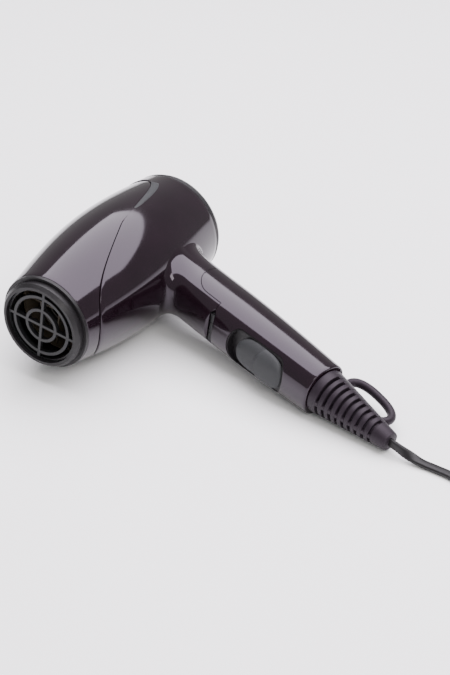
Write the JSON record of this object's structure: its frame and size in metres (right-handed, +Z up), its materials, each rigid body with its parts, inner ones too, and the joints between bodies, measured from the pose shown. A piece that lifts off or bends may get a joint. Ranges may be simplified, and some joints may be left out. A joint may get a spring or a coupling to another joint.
{
  "type": "travel hair dryer",
  "caption": "Compact hair dryer with a tapered round barrel, a handle that folds under the barrel, a slide switch and a flat twin cord.",
  "frame": {"origin": "centre of the dryer's footprint on the surface it lies on, without the free cord", "axes": "+X across the barrel towards the end of the handle, +Y along the barrel from the air outlet to the air inlet, +Z up; the dryer lies on its side and the handle dips until its end meets the surface"},
  "size_m": [0.3368, 0.1318, 0.0716],
  "materials": {
    "gloss_black": "glossy, very dark aubergine black",
    "accent_grey": "fine matte",
    "matte_black": "fine matte",
    "grille_black": "satin",
    "mica": "flaky mineral board",
    "resistance_wire": "oxidised",
    "steel": "plain",
    "inner_plastic": "moulded",
    "copper": "plain",
    "circuit_board": "plain",
    "wire_red": "insulated",
    "soft_black": "matte",
    "cord_black": "satin",
    "brass": "polished"
  },
  "bodies": {
    "handle": {"handle_shell": "gloss_black", "handle_back_cover": "gloss_black", "hinge_bracket_handle": "steel", "switch_bezel": "matte_black", "switch_housing": "inner_plastic", "diode_board": "circuit_board", "handle_wires": "wire_red", "cable_clamp": "inner_plastic", "handle_screws": "steel", "strain_relief": "soft_black", "power_cord": "cord_black", "cord_coil": "cord_black", "cord_tie": "soft_black", "plug_body": "soft_black", "plug_pins": "brass"},
    "barrel": {"front_shell": "gloss_black", "rear_shell": "gloss_black", "neck_shell": "gloss_black", "accent_insert_left": "accent_grey", "accent_insert_right": "accent_grey", "outlet_collar": "matte_black", "outlet_grille": "grille_black", "mica_tube": "mica", "heater_board_upright": "mica", "heater_board_cross": "mica", "heating_coils": "resistance_wire", "thermostat": "steel", "thermal_fuse": "steel", "fan_duct": "inner_plastic", "motor": "steel", "rear_cover": "matte_black", "filter_mesh": "steel", "barrel_screws": "steel", "hinge_bracket_barrel": "steel", "hinge_pin": "steel", "barrel_wires": "wire_red"},
    "slider": {"switch_slider": "accent_grey", "switch_contact": "copper"},
    "fan": {"fan_impeller": "inner_plastic", "motor_shaft": "steel"}
  },
  "joints": [
    {"name": "handle_fold", "type": "hinge", "parent": "handle", "child": "barrel", "pos_m": [-0.00751, -0.00374, 0.02531], "axis": [0.1547, 0, 0.988], "range_deg": [0, 70]},
    {"name": "switch_slide", "type": "slide", "parent": "handle", "child": "slider", "axis": [-0.9473, 0.284, 0.1483], "range_m": [0, 0.006]},
    {"name": "fan_spin", "type": "hinge", "parent": "barrel", "child": "fan", "pos_m": [-0.0758, 0.034, 0.036], "axis": [0, 1, 0], "continuous": true}
  ]
}
